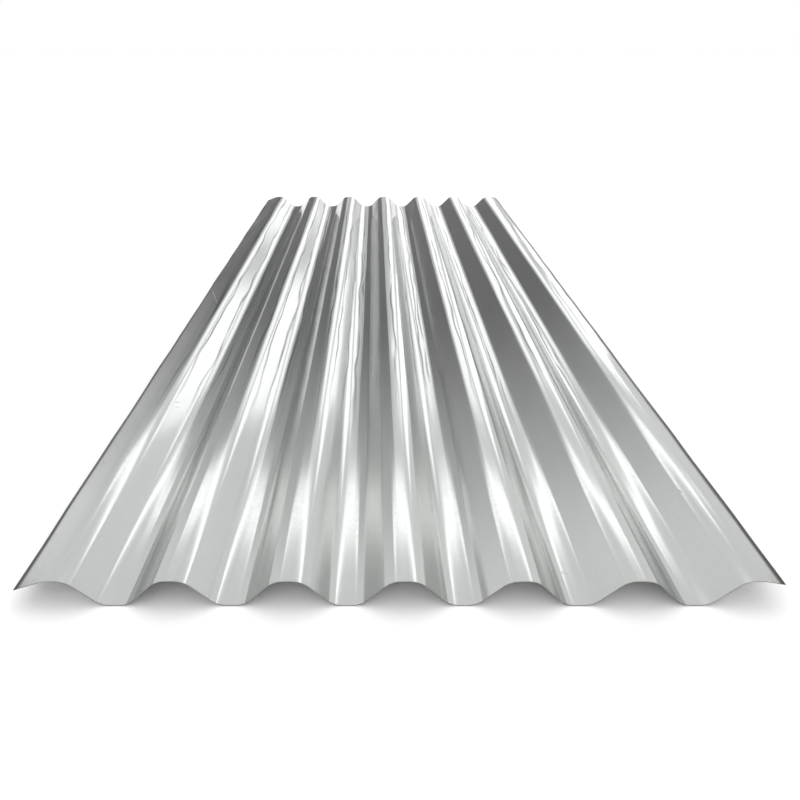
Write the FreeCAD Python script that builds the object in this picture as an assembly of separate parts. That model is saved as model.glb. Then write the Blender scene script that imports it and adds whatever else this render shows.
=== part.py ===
"""Corrugated steel floor decking sheet, cold rolled from one strip of galvanised steel.

The sheet is a single piece, so it is a single solid: its section is a row of round-shouldered
trapezoid ribs, and the section runs unchanged from one sheared end to the other. Every bend is a
true arc that meets its flat and its web at a tangent. The first and the last rib are the side laps:
each ends in a straight lip, which falls less steeply than a web because its bend springs open.

Frame, in millimetres: X runs across the ribs, Y along them, Z is up. The origin is under the middle
of the sheet, on the plane that the valleys rest on.
"""

import FreeCAD
import Part

import math
import os

# Driving dimensions
SHEET_LENGTH = 2000.0  # along the ribs, between the sheared ends
STEEL_THICKNESS = 0.8  # zinc coat included
RIB_COUNT = 7  # crests across the sheet
RIB_PITCH = 125.0  # crest to crest
RIB_HEIGHT = 35.0  # underside of a valley to the top of a crest
CREST_FLAT = 29.0  # between the crest's two sharp corners, before they are rounded
VALLEY_FLAT = 29.0  # between the valley's two sharp corners, before they are rounded
BEND_RADIUS = 25.0  # of every bend, to the middle of the steel
LEFT_LIP = 31.0  # straight steel past the first crest's outer bend
LEFT_LIP_FALL = math.radians(20.0)  # below level
RIGHT_LIP = 18.0  # straight steel past the last crest's outer bend
RIGHT_LIP_FALL = math.radians(12.0)  # below level

# The middle of the steel, from which both skins are offset by half the thickness
HALF_STEEL = STEEL_THICKNESS / 2
VALLEY_Z = HALF_STEEL
CREST_Z = RIB_HEIGHT - HALF_STEEL
WEB_RUN = (RIB_PITCH - CREST_FLAT - VALLEY_FLAT) / 2
WEB_ANGLE = math.atan2(CREST_Z - VALLEY_Z, WEB_RUN)
BEND_TANGENT = BEND_RADIUS * math.tan(WEB_ANGLE / 2)  # sharp corner to where the arc starts

# A bend's centre lies this far to each side of the middle of its crest or valley
CREST_BEND_X = CREST_FLAT / 2 - BEND_TANGENT
VALLEY_BEND_X = VALLEY_FLAT / 2 - BEND_TANGENT


def bend(centre_x, centre_z, radius, start, end):
    """One bend's arc, between two angles about its centre."""
    centre = FreeCAD.Vector(centre_x, 0, centre_z)

    def point(angle):
        return centre + FreeCAD.Vector(math.cos(angle), 0, math.sin(angle)) * radius

    return Part.Arc(point(start), point((start + end) / 2), point(end))


def crest_bends(crest_x, offset, left_turn, right_turn):
    """A crest's two bends from left to right. They curve about centres below the steel."""
    centre_z = CREST_Z - BEND_RADIUS
    radius = BEND_RADIUS + offset
    top = math.pi / 2
    return [
        bend(crest_x - CREST_BEND_X, centre_z, radius, top + left_turn, top),
        bend(crest_x + CREST_BEND_X, centre_z, radius, top, top - right_turn),
    ]


def valley_bends(valley_x, offset):
    """A valley's two bends from left to right. They curve about centres above the steel."""
    centre_z = VALLEY_Z + BEND_RADIUS
    radius = BEND_RADIUS - offset
    bottom = -math.pi / 2
    return [
        bend(valley_x - VALLEY_BEND_X, centre_z, radius, bottom - WEB_ANGLE, bottom),
        bend(valley_x + VALLEY_BEND_X, centre_z, radius, bottom, bottom + WEB_ANGLE),
    ]


def skin(offset):
    """One face of the steel from lip to lip: its bends, and the flats and webs between them."""
    bends = []
    for rib in range(RIB_COUNT):
        crest_x = rib * RIB_PITCH
        left_turn = LEFT_LIP_FALL if rib == 0 else WEB_ANGLE
        right_turn = RIGHT_LIP_FALL if rib == RIB_COUNT - 1 else WEB_ANGLE
        bends += crest_bends(crest_x, offset, left_turn, right_turn)
        if rib < RIB_COUNT - 1:
            bends += valley_bends(crest_x + RIB_PITCH / 2, offset)

    left_way = FreeCAD.Vector(-math.cos(LEFT_LIP_FALL), 0, -math.sin(LEFT_LIP_FALL))
    right_way = FreeCAD.Vector(math.cos(RIGHT_LIP_FALL), 0, -math.sin(RIGHT_LIP_FALL))
    left_tip = bends[0].StartPoint + left_way * LEFT_LIP
    right_tip = bends[-1].EndPoint + right_way * RIGHT_LIP

    curves = [Part.LineSegment(left_tip, bends[0].StartPoint), bends[0]]
    for last, this in zip(bends, bends[1:]):
        curves += [Part.LineSegment(last.EndPoint, this.StartPoint), this]
    curves.append(Part.LineSegment(bends[-1].EndPoint, right_tip))
    return curves


def decking_sheet():
    """The section between the two skins, closed by the slit edges of the strip and extruded."""
    upper = skin(HALF_STEEL)
    lower = skin(-HALF_STEEL)
    slit_edges = [
        Part.LineSegment(upper[0].StartPoint, lower[0].StartPoint),
        Part.LineSegment(upper[-1].EndPoint, lower[-1].EndPoint),
    ]
    edges = [curve.toShape() for curve in upper + lower + slit_edges]
    section = Part.Face(Part.Wire(Part.__sortEdges__(edges)))
    sheet = section.extrude(FreeCAD.Vector(0, SHEET_LENGTH, 0))
    middle = sheet.BoundBox.Center
    sheet.translate(FreeCAD.Vector(-middle.x, -middle.y, 0))
    return sheet


sheet = decking_sheet()
os.makedirs("parts", exist_ok=True)
sheet.exportStep("parts/decking_sheet.step")

def reach(lip, fall):
    """How far the steel goes past the middle of an outer crest."""
    return CREST_BEND_X + (BEND_RADIUS + HALF_STEEL) * math.sin(fall) + lip * math.cos(fall)


box = sheet.BoundBox
left_reach = reach(LEFT_LIP, LEFT_LIP_FALL)
right_reach = reach(RIGHT_LIP, RIGHT_LIP_FALL)
first_crest_x = (left_reach - right_reach - (RIB_COUNT - 1) * RIB_PITCH) / 2
print("valid", sheet.isValid(), "solids", len(sheet.Solids), "volume", round(sheet.Volume, 1))
print("box", [round(v, 3) for v in (box.XMin, box.YMin, box.ZMin, box.XMax, box.YMax, box.ZMax)])
print("first crest x", round(first_crest_x, 4), "reaches", round(left_reach, 3), round(right_reach, 3))
print("web angle", round(math.degrees(WEB_ANGLE), 3))
print("flat left on a crest", round(2 * CREST_BEND_X, 3), "and a valley", round(2 * VALLEY_BEND_X, 3))
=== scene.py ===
"""Corrugated steel floor decking sheet: one strip of galvanised steel, rolled into seven ribs.

Metres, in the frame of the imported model: X runs across the ribs, Y along them, Z is up. The origin
is under the middle of the sheet, on the plane that its valleys rest on.
"""

import math

import bpy
from mathutils import Euler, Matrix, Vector


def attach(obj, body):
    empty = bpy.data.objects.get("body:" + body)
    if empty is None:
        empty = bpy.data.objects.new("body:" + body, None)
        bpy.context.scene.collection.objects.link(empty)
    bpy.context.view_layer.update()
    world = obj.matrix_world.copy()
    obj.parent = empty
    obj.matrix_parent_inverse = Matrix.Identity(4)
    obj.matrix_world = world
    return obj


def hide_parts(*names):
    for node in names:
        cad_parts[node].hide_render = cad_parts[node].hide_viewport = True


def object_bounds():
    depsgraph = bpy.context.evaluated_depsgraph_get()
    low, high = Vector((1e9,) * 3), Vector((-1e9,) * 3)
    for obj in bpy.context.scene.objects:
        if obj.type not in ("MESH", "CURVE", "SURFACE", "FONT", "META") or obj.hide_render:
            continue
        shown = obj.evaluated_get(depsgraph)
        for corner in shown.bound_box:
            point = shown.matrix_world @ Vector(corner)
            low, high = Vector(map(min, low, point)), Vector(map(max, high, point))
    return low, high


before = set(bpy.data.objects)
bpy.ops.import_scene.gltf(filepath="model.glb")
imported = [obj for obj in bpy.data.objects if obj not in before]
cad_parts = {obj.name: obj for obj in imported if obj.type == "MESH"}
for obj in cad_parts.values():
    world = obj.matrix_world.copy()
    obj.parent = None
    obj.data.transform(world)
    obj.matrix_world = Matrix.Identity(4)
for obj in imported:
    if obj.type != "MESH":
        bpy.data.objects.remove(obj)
cad_low, cad_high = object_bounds()


# ---- Camera ----
# Eye height of a person who stoops over the near end: close to the sheet, so that the ribs run
# steeply together. The lens is moved sideways a little, so that the ribs meet left of the middle.

EYE_BACK = 0.567  # from the near end of the sheet
EYE_ABOVE_CRESTS = 0.509
EYE_ASIDE = -0.025
LOOKS_DOWN = math.radians(27.41)

camera_data = bpy.data.cameras.new("camera")
camera_data.lens = 31.5
camera_data.sensor_width = 36
camera_data.shift_x = 0.03125
camera_data.clip_start = 0.05
camera_data.clip_end = 200
camera = bpy.data.objects.new("camera", camera_data)
camera.location = (EYE_ASIDE, cad_low.y - EYE_BACK, cad_high.z + EYE_ABOVE_CRESTS)
camera.rotation_euler = Euler((math.pi / 2 - LOOKS_DOWN, 0, 0))
bpy.context.scene.collection.objects.link(camera)
bpy.context.scene.camera = camera


# ---- Decking sheet ----
# One strip of 0.8 mm structural steel, galvanised in the coil. Pairs of rolls press one rib after
# another into it, and a flying shear cuts it to length. It has no seam, hole or fastener.

RIB_COUNT = 7
RIB_PITCH = 0.125
FLAT = 0.029  # of each crest and valley, between its two sharp corners, before they are rounded
BEND_RADIUS = 0.025
STEEL_THICKNESS = 0.0008
LEFT_LIP = 0.031  # straight steel past the first crest's outer bend
LEFT_LIP_FALL = math.radians(20)  # below level
RIGHT_LIP = 0.018  # straight steel past the last crest's outer bend
RIGHT_LIP_FALL = math.radians(12)
TRIM = 0.00001  # off every edge, because the waves tilt the edges outwards by that much

half_steel = STEEL_THICKNESS / 2
valley_z = cad_low.z + half_steel
crest_z = cad_high.z - half_steel
web_angle = math.atan2(crest_z - valley_z, RIB_PITCH / 2 - FLAT)
bend_centre_x = FLAT / 2 - BEND_RADIUS * math.tan(web_angle / 2)  # from the middle of its crest
left_bend_reach = bend_centre_x + (BEND_RADIUS + half_steel) * math.sin(LEFT_LIP_FALL)
first_crest_x = cad_low.x + left_bend_reach + LEFT_LIP * math.cos(LEFT_LIP_FALL)

# The same section unrolled: lengths along the flat strip
bend_length = BEND_RADIUS * web_angle
bend_end_x = bend_centre_x + BEND_RADIUS * math.sin(web_angle)
web_length = (RIB_PITCH / 2 - 2 * bend_end_x) / math.cos(web_angle)
half_pitch_flat = 2 * bend_centre_x + 2 * bend_length + web_length
left_lip_flat = LEFT_LIP + BEND_RADIUS * LEFT_LIP_FALL + bend_centre_x
right_lip_flat = RIGHT_LIP + BEND_RADIUS * RIGHT_LIP_FALL + bend_centre_x
strip_half_width = (left_lip_flat + 2 * (RIB_COUNT - 1) * half_pitch_flat + right_lip_flat) / 2
first_crest_flat = left_lip_flat - strip_half_width


def lip(crest_x, side, length, fall):
    """An outer crest's outer sharp corner, then the tip of its lip. Side is -1 on the left."""
    tangent = BEND_RADIUS * math.tan(fall / 2)
    corner_x = crest_x + side * (bend_centre_x + tangent)
    tip_x = corner_x + side * ((tangent + length) * math.cos(fall) - TRIM)
    tip_z = crest_z - (tangent + length) * math.sin(fall)
    return [(corner_x, 0, crest_z), (tip_x, 0, tip_z)]


# The section through the middle of the steel, with its bends still sharp
corners = lip(first_crest_x, -1, LEFT_LIP, LEFT_LIP_FALL)[::-1]
corners.append((first_crest_x + FLAT / 2, 0, crest_z))
for rib in range(1, RIB_COUNT):
    crest_x = first_crest_x + rib * RIB_PITCH
    valley_x = crest_x - RIB_PITCH / 2
    corners += [(valley_x - FLAT / 2, 0, valley_z), (valley_x + FLAT / 2, 0, valley_z)]
    corners += [(crest_x - FLAT / 2, 0, crest_z), (crest_x + FLAT / 2, 0, crest_z)]
corners[-1:] = lip(crest_x, 1, RIGHT_LIP, RIGHT_LIP_FALL)
sharp_section = bpy.data.meshes.new("sharp section")
sharp_section.from_pydata(corners, [(n, n + 1) for n in range(len(corners) - 1)], [])


def add(tree, kind, links=None, **settings):
    """Adds one node: its settings, and for each of its sockets a value, a node or a node's output."""
    node = tree.nodes.new(kind)
    for name, value in settings.items():
        setattr(node, name, value)
    for socket, value in (links or {}).items():
        if isinstance(value, bpy.types.Node):
            value = next(output for output in value.outputs if output.enabled)
        if isinstance(value, bpy.types.NodeSocket):
            tree.links.new(value, node.inputs[socket])
        else:
            node.inputs[socket].default_value = value
    return node


rolling = bpy.data.node_groups.new("rolled sheet", "GeometryNodeTree")
rolling.interface.new_socket("Geometry", in_out="OUTPUT", socket_type="NodeSocketGeometry")
rolling.interface.new_socket("Sharp section", in_out="INPUT", socket_type="NodeSocketGeometry")
ROLLING_INPUTS = {
    "Bend radius": ("NodeSocketFloat", BEND_RADIUS),
    "Sheet length": ("NodeSocketFloat", cad_high.y - cad_low.y - 2 * TRIM),
    "Steel thickness": ("NodeSocketFloat", STEEL_THICKNESS),
    "Facets across": ("NodeSocketInt", 400),
    "Facets along": ("NodeSocketInt", 110),
    "Wave size": ("NodeSocketVector", (0.04, 0.3, 1)),  # across and along the strip
    "Wave depth": ("NodeSocketFloat", 0.0016),
    "Lip wave length": ("NodeSocketFloat", 0.16),
    "Lip wave depth": ("NodeSocketFloat", 0.005),
    "Lip wave reach": ("NodeSocketFloat", 0.03),  # in from the slit edge
    "Seed": ("NodeSocketInt", 4),
    "Finish": ("NodeSocketMaterial", None),
}
for name, (kind, _) in ROLLING_INPUTS.items():
    rolling.interface.new_socket(name, in_out="INPUT", socket_type=kind)
given = rolling.nodes.new("NodeGroupInput").outputs

section = add(
    rolling,
    "GeometryNodeFilletCurve",
    {
        "Curve": add(rolling, "GeometryNodeMeshToCurve", {"Mesh": given["Sharp section"]}),
        "Count": 40,
        "Radius": given["Bend radius"],
    },
    mode="POLY",
)

# The strip as it comes off the coil: flat, as wide as the section is long, with even facets
strip_width = add(rolling, "GeometryNodeCurveLength", {"Curve": section})
half_strip = add(rolling, "ShaderNodeMath", {0: strip_width, 1: 0.5}, operation="MULTIPLY")
strip = add(
    rolling,
    "GeometryNodeMeshGrid",
    {
        "Size X": strip_width,
        "Size Y": given["Sheet length"],
        "Vertices X": given["Facets across"],
        "Vertices Y": given["Facets along"],
    },
)
at = add(rolling, "GeometryNodeInputPosition")
marked_strip = add(
    rolling,
    "GeometryNodeStoreNamedAttribute",
    {"Geometry": strip, "Name": "strip", "Value": at},
    data_type="FLOAT_VECTOR",
    domain="POINT",
)

# Rolling moves each point of the strip to its length along the section
flat_at = add(rolling, "ShaderNodeSeparateXYZ", {0: at})
across = add(rolling, "ShaderNodeMath", {0: half_strip, 1: flat_at.outputs["X"]}, operation="ADD")
rolled_at = add(
    rolling,
    "GeometryNodeSampleCurve",
    {"Curves": section, "Length": across},
    mode="LENGTH",
    use_all_curves=False,
)
rolled_xyz = add(rolling, "ShaderNodeSeparateXYZ", {0: rolled_at.outputs["Position"]})
rolled_place = add(
    rolling,
    "ShaderNodeCombineXYZ",
    {"X": rolled_xyz.outputs["X"], "Y": flat_at.outputs["Y"], "Z": rolled_xyz.outputs["Z"]},
)
rolled = add(rolling, "GeometryNodeSetPosition", {"Geometry": marked_strip, "Position": rolled_place})

# The flats and webs wander a little from the true section. The share of the wave's range that goes
# below it is small in a valley and large on a crest, so that valleys rise and crests sink.
strip_at = add(
    rolling,
    "GeometryNodeInputNamedAttribute",
    {"Name": "strip"},
    data_type="FLOAT_VECTOR",
)
in_waves = add(
    rolling,
    "ShaderNodeVectorMath",
    {0: strip_at, 1: given["Wave size"]},
    operation="DIVIDE",
)
wave = add(
    rolling,
    "ShaderNodeTexNoise",
    {"Vector": in_waves, "W": given["Seed"], "Scale": 1, "Detail": 1.5, "Roughness": 0.4},
    noise_dimensions="4D",
)
level = add(rolling, "ShaderNodeSeparateXYZ", {0: at}).outputs["Z"]
share_below = add(
    rolling,
    "ShaderNodeMapRange",
    {"Value": level, "From Min": valley_z, "From Max": crest_z, "To Min": 0.2, "To Max": 0.75},
)
wave_height = add(rolling, "ShaderNodeMath", {0: wave, 1: share_below}, operation="SUBTRACT")
wave_move = add(
    rolling,
    "ShaderNodeMath",
    {0: wave_height, 1: given["Wave depth"]},
    operation="MULTIPLY",
)

# The free lips are slack, and wave a little more towards their slit edges
strip_xyz = add(rolling, "ShaderNodeSeparateXYZ", {0: strip_at})
along_lip = add(
    rolling,
    "ShaderNodeMath",
    {0: strip_xyz.outputs["Y"], 1: given["Lip wave length"]},
    operation="DIVIDE",
)
lip_wave = add(
    rolling,
    "ShaderNodeTexNoise",
    {
        "Vector": add(
            rolling,
            "ShaderNodeCombineXYZ",
            {"X": strip_xyz.outputs["X"], "Y": along_lip},
        ),
        "W": given["Seed"],
        "Scale": 1,
        "Detail": 1,
    },
    noise_dimensions="4D",
)
from_middle = add(rolling, "ShaderNodeMath", {0: strip_xyz.outputs["X"]}, operation="ABSOLUTE")
from_edge = add(rolling, "ShaderNodeMath", {0: half_strip, 1: from_middle}, operation="SUBTRACT")
slack = add(
    rolling,
    "ShaderNodeMapRange",
    {"Value": from_edge, "From Min": given["Lip wave reach"], "From Max": 0},
    interpolation_type="SMOOTHSTEP",
)
lip_wave_height = add(rolling, "ShaderNodeMath", {0: lip_wave, 1: 0.5}, operation="SUBTRACT")
slack_height = add(rolling, "ShaderNodeMath", {0: lip_wave_height, 1: slack}, operation="MULTIPLY")
lift = add(
    rolling,
    "ShaderNodeMath",
    {0: slack_height, 1: given["Lip wave depth"], 2: wave_move},
    operation="MULTIPLY_ADD",
)
waved = add(
    rolling,
    "GeometryNodeSetPosition",
    {"Geometry": rolled, "Offset": add(rolling, "ShaderNodeCombineXYZ", {"Z": lift})},
)

# Both skins, half the steel's thickness to each side, closed by the cut edges
half_down = add(rolling, "ShaderNodeMath", {0: given["Steel thickness"], 1: -0.5}, operation="MULTIPLY")
to_underside = add(
    rolling,
    "ShaderNodeVectorMath",
    {0: add(rolling, "GeometryNodeInputNormal"), "Scale": half_down},
    operation="SCALE",
)
underside = add(rolling, "GeometryNodeSetPosition", {"Geometry": waved, "Offset": to_underside})
upper_side = add(
    rolling,
    "GeometryNodeExtrudeMesh",
    {"Mesh": underside, "Offset Scale": given["Steel thickness"], "Individual": False},
    mode="FACES",
)
marked_edges = add(
    rolling,
    "GeometryNodeStoreNamedAttribute",
    {"Geometry": upper_side, "Name": "cut_edge", "Value": upper_side.outputs["Side"]},
    data_type="FLOAT",
    domain="FACE",
)
turned_over = add(rolling, "GeometryNodeFlipFaces", {"Mesh": underside})
both_skins = add(rolling, "GeometryNodeJoinGeometry")
for skin in (turned_over, marked_edges):
    rolling.links.new(skin.outputs[0], both_skins.inputs[0])
closed = add(rolling, "GeometryNodeMergeByDistance", {"Geometry": both_skins, "Distance": 0.00001})

# Only the cut edges, which turn by about 90 degrees, stay crisp
smooth = add(rolling, "GeometryNodeSetShadeSmooth", {"Geometry": closed, "Shade Smooth": True})
turn = add(rolling, "GeometryNodeInputMeshEdgeAngle").outputs["Unsigned Angle"]
crisp = add(
    rolling,
    "GeometryNodeSetShadeSmooth",
    {
        "Geometry": smooth,
        "Selection": add(
            rolling,
            "ShaderNodeMath",
            {0: turn, 1: math.radians(60)},
            operation="GREATER_THAN",
        ),
        "Shade Smooth": False,
    },
    domain="EDGE",
)
real = add(rolling, "GeometryNodeRealizeInstances", {"Geometry": crisp})
finished = add(rolling, "GeometryNodeSetMaterial", {"Geometry": real, "Material": given["Finish"]})
add(rolling, "NodeGroupOutput", {"Geometry": finished})


def linear(hex_colour):
    """A colour that is written as an sRGB hex value, as the shaders take it."""
    channels = [int(hex_colour[i : i + 2], 16) / 255 for i in (1, 3, 5)]
    return [c / 12.92 if c <= 0.04045 else ((c + 0.055) / 1.055) ** 2.4 for c in channels] + [1]


# Hot-dip galvanised steel. The zinc is wiped even and skin-passed, so it shines like a soft mirror
# with hardly any spangle. Rolling leaves faint streaks along the sheet. The dark lines where each
# right flank bends are painted reflections.
STREAK = (0.0025, 0.35, 1)  # one streak of the rolling, across and along
CLOUD = (0.06, 0.3, 1)  # one patch of duller zinc
SWAY = (0.03, 0.22, 1)  # one sideways swing of the painted reflection lines
SWAY_WIDTH = 0.02
SPANGLE = 0.004  # one crystal of zinc
# Where the dark lines of painted reflection lie
REFLECTION_LINE_HALF_WIDTH = 0.003
REFLECTION_LINES_PAST_FLANK = 0.006  # where the lines fade out
REFLECTION_LINES_FROM = -0.7  # along the sheet: none is nearer
FULL_REFLECTION_LINES_FROM = -0.3
EDGE_SHADE_WIDTH = 0.008  # of the painted shade along each slit edge

SHARE, FIRST_COLOUR, SECOND_COLOUR = 0, 6, 7  # the sockets of a node that mixes colours

galvanised = bpy.data.materials.new("galvanised steel, skin-passed")
galvanised.use_nodes = True
zinc = galvanised.node_tree
zinc.nodes.clear()
flat = add(zinc, "ShaderNodeAttribute", attribute_name="strip").outputs["Vector"]
flat_xyz = add(zinc, "ShaderNodeSeparateXYZ", {0: flat}).outputs

noises = []
for size, detail, roughness in ((STREAK, 3, 0.6), (CLOUD, 4, 0.55), (SWAY, 1, 0.5)):
    stretched = add(zinc, "ShaderNodeVectorMath", {0: flat, 1: size}, operation="DIVIDE")
    noises.append(
        add(
            zinc,
            "ShaderNodeTexNoise",
            {"Vector": stretched, "Scale": 1, "Detail": detail, "Roughness": roughness},
        )
    )
streak, cloud, sway = noises
crystal = add(zinc, "ShaderNodeTexVoronoi", {"Vector": flat, "Scale": 1 / SPANGLE})
shade_of_crystal = add(zinc, "ShaderNodeSeparateColor", {0: crystal.outputs["Color"]})

# The dark lines of painted reflection lie at both ends of each bend, and wander a little along it
swaying = add(
    zinc,
    "ShaderNodeMath",
    {0: sway, 1: SWAY_WIDTH, 2: flat_xyz["X"]},
    operation="MULTIPLY_ADD",
)
from_crest = add(
    zinc,
    "ShaderNodeMath",
    {0: swaying, 1: first_crest_flat + SWAY_WIDTH / 2},
    operation="SUBTRACT",
)
from_flat = add(zinc, "ShaderNodeMath", {0: from_crest, 1: half_pitch_flat / 2}, operation="PINGPONG")
painted_reflection_lines = 0
for bend_end in (bend_centre_x, bend_centre_x + bend_length):
    away = add(zinc, "ShaderNodeMath", {0: from_flat, 1: bend_end}, operation="SUBTRACT")
    line = add(
        zinc,
        "ShaderNodeMapRange",
        {
            "Value": add(zinc, "ShaderNodeMath", {0: away}, operation="ABSOLUTE"),
            "From Min": REFLECTION_LINE_HALF_WIDTH,
            "From Max": 0,
        },
        interpolation_type="SMOOTHSTEP",
    )
    painted_reflection_lines = add(zinc, "ShaderNodeMath", {0: line, 1: painted_reflection_lines}, operation="MAXIMUM")

# They come and go, lie on the right flank of each rib only, and fade out towards the near end. Their
# darkness is painted reflection
into_ribs = add(zinc, "ShaderNodeMath", {0: flat_xyz["X"], 1: first_crest_flat}, operation="SUBTRACT")
past_crest = add(
    zinc,
    "ShaderNodeMath",
    {0: into_ribs, 1: 2 * half_pitch_flat, 2: 0},
    operation="WRAP",
)
for value, none_at, full_at in (
    (cloud, 0.3, 0.55),
    (past_crest, half_pitch_flat + REFLECTION_LINES_PAST_FLANK, half_pitch_flat),
    (flat_xyz["Y"], REFLECTION_LINES_FROM, FULL_REFLECTION_LINES_FROM),
):
    lines_kept = add(
        zinc,
        "ShaderNodeMapRange",
        {"Value": value, "From Min": none_at, "From Max": full_at},
        interpolation_type="SMOOTHSTEP",
    )
    painted_reflection_lines = add(zinc, "ShaderNodeMath", {0: painted_reflection_lines, 1: lines_kept}, operation="MULTIPLY")

# Small scratches and dings from handling: across, along, length, turn from the ribs, width
DINGS = [
    (-0.455, -0.075, 0.150, 18, 0.0020),
    (0.165, 0.115, 0.080, 6, 0.0018),
    (0.169, 0.090, 0.030, -25, 0.0016),
    (0.373, 0.417, 0.090, 5, 0.0018),
    (0.307, 0.180, 0.060, -10, 0.0016),
    (0.458, -0.553, 0.018, 20, 0.0012),
    (0.459, -0.565, 0.022, 22, 0.0012),
    (0.460, -0.578, 0.020, 18, 0.0010),
    (0.460, -0.591, 0.014, 24, 0.0010),
    (0.442, -0.807, 0.020, -6, 0.0016),
    (0.437, -0.828, 0.010, 12, 0.0014),
    (-0.411, -0.572, 0.020, -28, 0.0014),
    (-0.408, -0.584, 0.016, -42, 0.0012),
    (0.228, -0.950, 0.014, 50, 0.0020),
    (-0.464, -0.716, 0.010, 40, 0.0016),
    (-0.470, -0.755, 0.012, 35, 0.0016),
]
scratched = 0
for across_at, along_at, length, turn_from_rib, width in DINGS:
    in_ding = add(
        zinc,
        "ShaderNodeMapping",
        {
            "Vector": flat,
            "Location": (across_at, along_at, 0),
            "Rotation": (0, 0, math.radians(turn_from_rib)),
            "Scale": (width / 2, length / 2, 1),
        },
        vector_type="TEXTURE",
    )
    out_from_ding = add(zinc, "ShaderNodeVectorMath", {0: in_ding}, operation="LENGTH")
    ding = add(
        zinc,
        "ShaderNodeMapRange",
        {"Value": out_from_ding.outputs["Value"], "From Min": 1, "From Max": 0.5},
        interpolation_type="SMOOTHSTEP",
    )
    scratched = add(zinc, "ShaderNodeMath", {0: ding, 1: scratched}, operation="MAXIMUM")

# The slit edges were cut before the rolling. An uneven dark line of painted shade runs along each of
# them
off_middle = add(zinc, "ShaderNodeMath", {0: flat_xyz["X"]}, operation="ABSOLUTE")
inward = add(zinc, "ShaderNodeMath", {0: strip_half_width, 1: off_middle}, operation="SUBTRACT")
edge_shade_end = add(
    zinc,
    "ShaderNodeMath",
    {0: cloud, 1: EDGE_SHADE_WIDTH, 2: EDGE_SHADE_WIDTH / 2},
    operation="MULTIPLY_ADD",
)
painted_edge_shade = add(
    zinc,
    "ShaderNodeMapRange",
    {"Value": inward, "From Min": edge_shade_end, "From Max": EDGE_SHADE_WIDTH / 2},
)
cut = add(zinc, "ShaderNodeAttribute", attribute_name="cut_edge").outputs["Fac"]

colour = linear("#c4c6c4")
for share, strength, hex_colour in (
    (cloud, 1, "#bbbebc"),
    (shade_of_crystal, 0.12, "#b4b8b8"),
    # painted reflection: dark lines along the bends of the right flanks
    (painted_reflection_lines, 0.85, "#4a4c4e"),
    (scratched, 0.5, "#9c9d9b"),
    # painted shade: a dark line along each slit edge
    (painted_edge_shade, 0.9, "#35332f"),
    (cut, 1, "#7d7873"),
):
    amount = add(zinc, "ShaderNodeMath", {0: share, 1: strength}, operation="MULTIPLY")
    colour = add(
        zinc,
        "ShaderNodeMix",
        {SHARE: amount, FIRST_COLOUR: colour, SECOND_COLOUR: linear(hex_colour)},
        data_type="RGBA",
    )

roughness = 0.06
for share, more in (
    (streak, 0.07),
    (cloud, 0.05),
    (shade_of_crystal, 0.03),
    (painted_reflection_lines, 0.1),
    (scratched, 0.35),
    (painted_edge_shade, 0.2),
    (cut, 0.3),
):
    roughness = add(zinc, "ShaderNodeMath", {0: share, 1: more, 2: roughness}, operation="MULTIPLY_ADD")

relief = 0  # in millimetres
for share, height in ((streak, 0.004), (painted_reflection_lines, -0.07)):
    relief = add(zinc, "ShaderNodeMath", {0: share, 1: height, 2: relief}, operation="MULTIPLY_ADD")
bump = add(zinc, "ShaderNodeBump", {"Height": relief, "Distance": 0.001})

surface = add(
    zinc,
    "ShaderNodeBsdfPrincipled",
    {"Base Color": colour, "Metallic": 1.0, "Roughness": roughness, "Normal": bump},
)
add(zinc, "ShaderNodeOutputMaterial", {"Surface": surface})

blank = bpy.data.objects.new("blank", sharp_section)
bpy.context.scene.collection.objects.link(blank)
rolls = blank.modifiers.new("rolls", "NODES")
rolls.node_group = rolling
sockets = {item.name: item.identifier for item in rolling.interface.items_tree if item.in_out == "INPUT"}
for name, (_, value) in ROLLING_INPUTS.items():
    rolls[sockets[name]] = value
rolls[sockets["Finish"]] = galvanised
evaluated = blank.evaluated_get(bpy.context.evaluated_depsgraph_get())
sheet_mesh = bpy.data.meshes.new_from_object(evaluated)
sheet_mesh.materials.pop(index=0)  # the flat grid's own slot, which is empty
bpy.data.objects.remove(blank)

sheet = bpy.data.objects.new("floor_decking_sheet", sheet_mesh)
bpy.context.scene.collection.objects.link(sheet)
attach(sheet, "root")
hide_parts("decking_sheet")


# ---- Floor and light ----
# A plain white floor in a white room. Soft lamps hang ahead, overhead and behind, and graded papers
# stand ahead, at the sides and behind, so that the steel's bends show as bands of light and dark.

FLOOR_HALF = 40
STUDIO_RADIUS = 14  # from the middle of the sheet to the lamps and to the papers ahead

floor_mesh = bpy.data.meshes.new("floor")
floor_mesh.from_pydata(
    [(x * FLOOR_HALF, y * FLOOR_HALF, 0) for x, y in ((-1, -1), (1, -1), (1, 1), (-1, 1))],
    [],
    [(0, 1, 2, 3)],
)
floor = bpy.data.objects.new("floor", floor_mesh)
bpy.context.scene.collection.objects.link(floor)
white_floor = bpy.data.materials.new("matt white floor")
white_floor.use_nodes = True
paint = white_floor.node_tree.nodes["Principled BSDF"]
paint.inputs["Base Color"].default_value = linear("#ffffff")
paint.inputs["Roughness"].default_value = 1
floor_mesh.materials.append(white_floor)


def span(degrees):
    """The width that fills this angle, seen from the sheet."""
    return 2 * STUDIO_RADIUS * math.tan(math.radians(degrees) / 2)


def soft_lamp(name, azimuth, elevation, wide, high, radiance):
    """An area lamp that fills these angles, in degrees, and adds this much to the white behind it."""
    lamp = bpy.data.lights.new(name, "AREA")
    lamp.shape = "RECTANGLE"
    lamp.size = span(wide)
    lamp.size_y = span(high)
    lamp.energy = radiance * math.pi * lamp.size * lamp.size_y
    stand = bpy.data.objects.new(name, lamp)
    direction = Euler((math.radians(elevation), 0, -math.radians(azimuth))).to_matrix()
    stand.location = direction @ Vector((0, STUDIO_RADIUS, 0))
    stand.rotation_euler = stand.location.to_track_quat("Z", "Y").to_euler()
    stand.visible_camera = False
    bpy.context.scene.collection.objects.link(stand)


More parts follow.
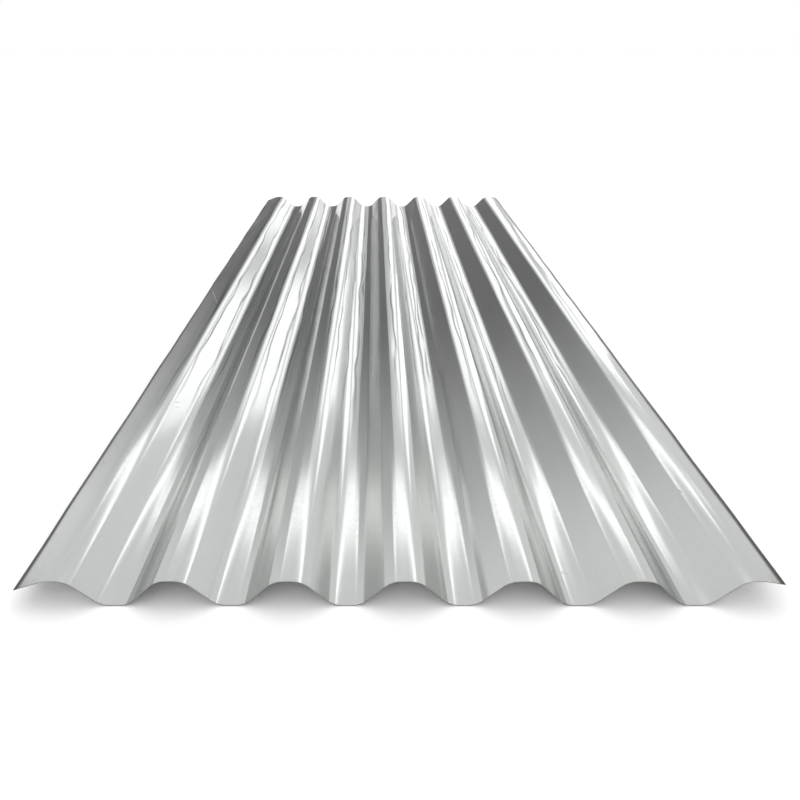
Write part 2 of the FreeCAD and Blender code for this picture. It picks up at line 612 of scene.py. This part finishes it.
soft_lamp("softbox_right", 22.5, 12.5, 12, 25, 1.0)
soft_lamp("window_ahead", 7.5, 15.5, 10, 28, 0.9)
soft_lamp("strip_ahead", 4, 38.5, 46, 5.5, 1.2)
soft_lamp("softbox_overhead", 0, 72, 70, 40, 0.5)
soft_lamp("window_behind", 197, 43, 22, 16, 0.7)


def paper_stage(name, mesh, darkest, axes, dark_to, white_from):
    """Stands matt paper there, graded by the distance along the axes from its own origin.

    Only the steel sees it, so that the floor stays evenly white.
    """
    paper = bpy.data.materials.new(name.replace("_", " "))
    paper.use_nodes = True
    tree = paper.node_tree
    tree.nodes.clear()
    here = add(tree, "ShaderNodeTexCoord").outputs["Object"]
    along_axes = add(tree, "ShaderNodeVectorMath", {0: here, 1: axes}, operation="MULTIPLY")
    away = add(tree, "ShaderNodeVectorMath", {0: along_axes}, operation="LENGTH").outputs["Value"]
    share = add(
        tree,
        "ShaderNodeMapRange",
        {"Value": away, "From Min": dark_to, "From Max": white_from},
    )
    grade = add(
        tree,
        "ShaderNodeMix",
        {SHARE: share, FIRST_COLOUR: linear(darkest), SECOND_COLOUR: linear("#ffffff")},
        data_type="RGBA",
    )
    matt = add(
        tree,
        "ShaderNodeBsdfPrincipled",
        {"Base Color": grade, "Roughness": 1, "Specular IOR Level": 0},
    )
    add(tree, "ShaderNodeOutputMaterial", {"Surface": matt})
    mesh.materials.append(paper)
    stand = bpy.data.objects.new(name, mesh)
    stand.visible_camera = False
    stand.visible_shadow = False
    stand.visible_diffuse = False
    bpy.context.scene.collection.objects.link(stand)
    return stand


# Two papers stand ahead, side by side. Each is darkest straight ahead at the floor, and white far out.
for name, left, right, darkest, dark_to, white_from in (
    ("dark_backdrop", -16, -1, "#7c7c7c", 5.8, 13.5),
    ("pale_backdrop", -1, 16, "#d4d4d4", 3.8, 11.7),
):
    backdrop_mesh = bpy.data.meshes.new(name)
    backdrop_mesh.from_pydata(
        [(left, 0, 0), (right, 0, 0), (right, 0, white_from), (left, 0, white_from)],
        [],
        [(0, 1, 2, 3)],
    )
    backdrop = paper_stage(name, backdrop_mesh, darkest, (1, 0, 1), dark_to, white_from)
    backdrop.location.y = STUDIO_RADIUS

# A third goes round the sides and the back, darkest at the floor
WALL_RADIUS = 21
WALL_HEIGHT = 24
WALL_DARK_TO = 0.5
WALL_FACETS = 48
WALL_FROM = math.radians(50)  # clockwise from straight ahead
WALL_TO = math.radians(310)
wall_angles = [WALL_FROM + (WALL_TO - WALL_FROM) * n / WALL_FACETS for n in range(WALL_FACETS + 1)]
wall_mesh = bpy.data.meshes.new("surrounding_wall")
wall_mesh.from_pydata(
    [
        (WALL_RADIUS * math.sin(angle), WALL_RADIUS * math.cos(angle), z)
        for z in (0, WALL_HEIGHT)
        for angle in wall_angles
    ],
    [],
    [(n, n + 1, n + WALL_FACETS + 2, n + WALL_FACETS + 1) for n in range(WALL_FACETS)],
)
paper_stage("surrounding_wall", wall_mesh, "#787878", (0, 0, 1), WALL_DARK_TO, WALL_HEIGHT)

room = bpy.data.worlds.new("white room")
room.use_nodes = True
room.node_tree.nodes["Background"].inputs["Color"].default_value = linear("#ffffff")
room.node_tree.nodes["Background"].inputs["Strength"].default_value = 1.0
bpy.context.scene.world = room

bpy.context.scene.view_settings.view_transform = "Standard"
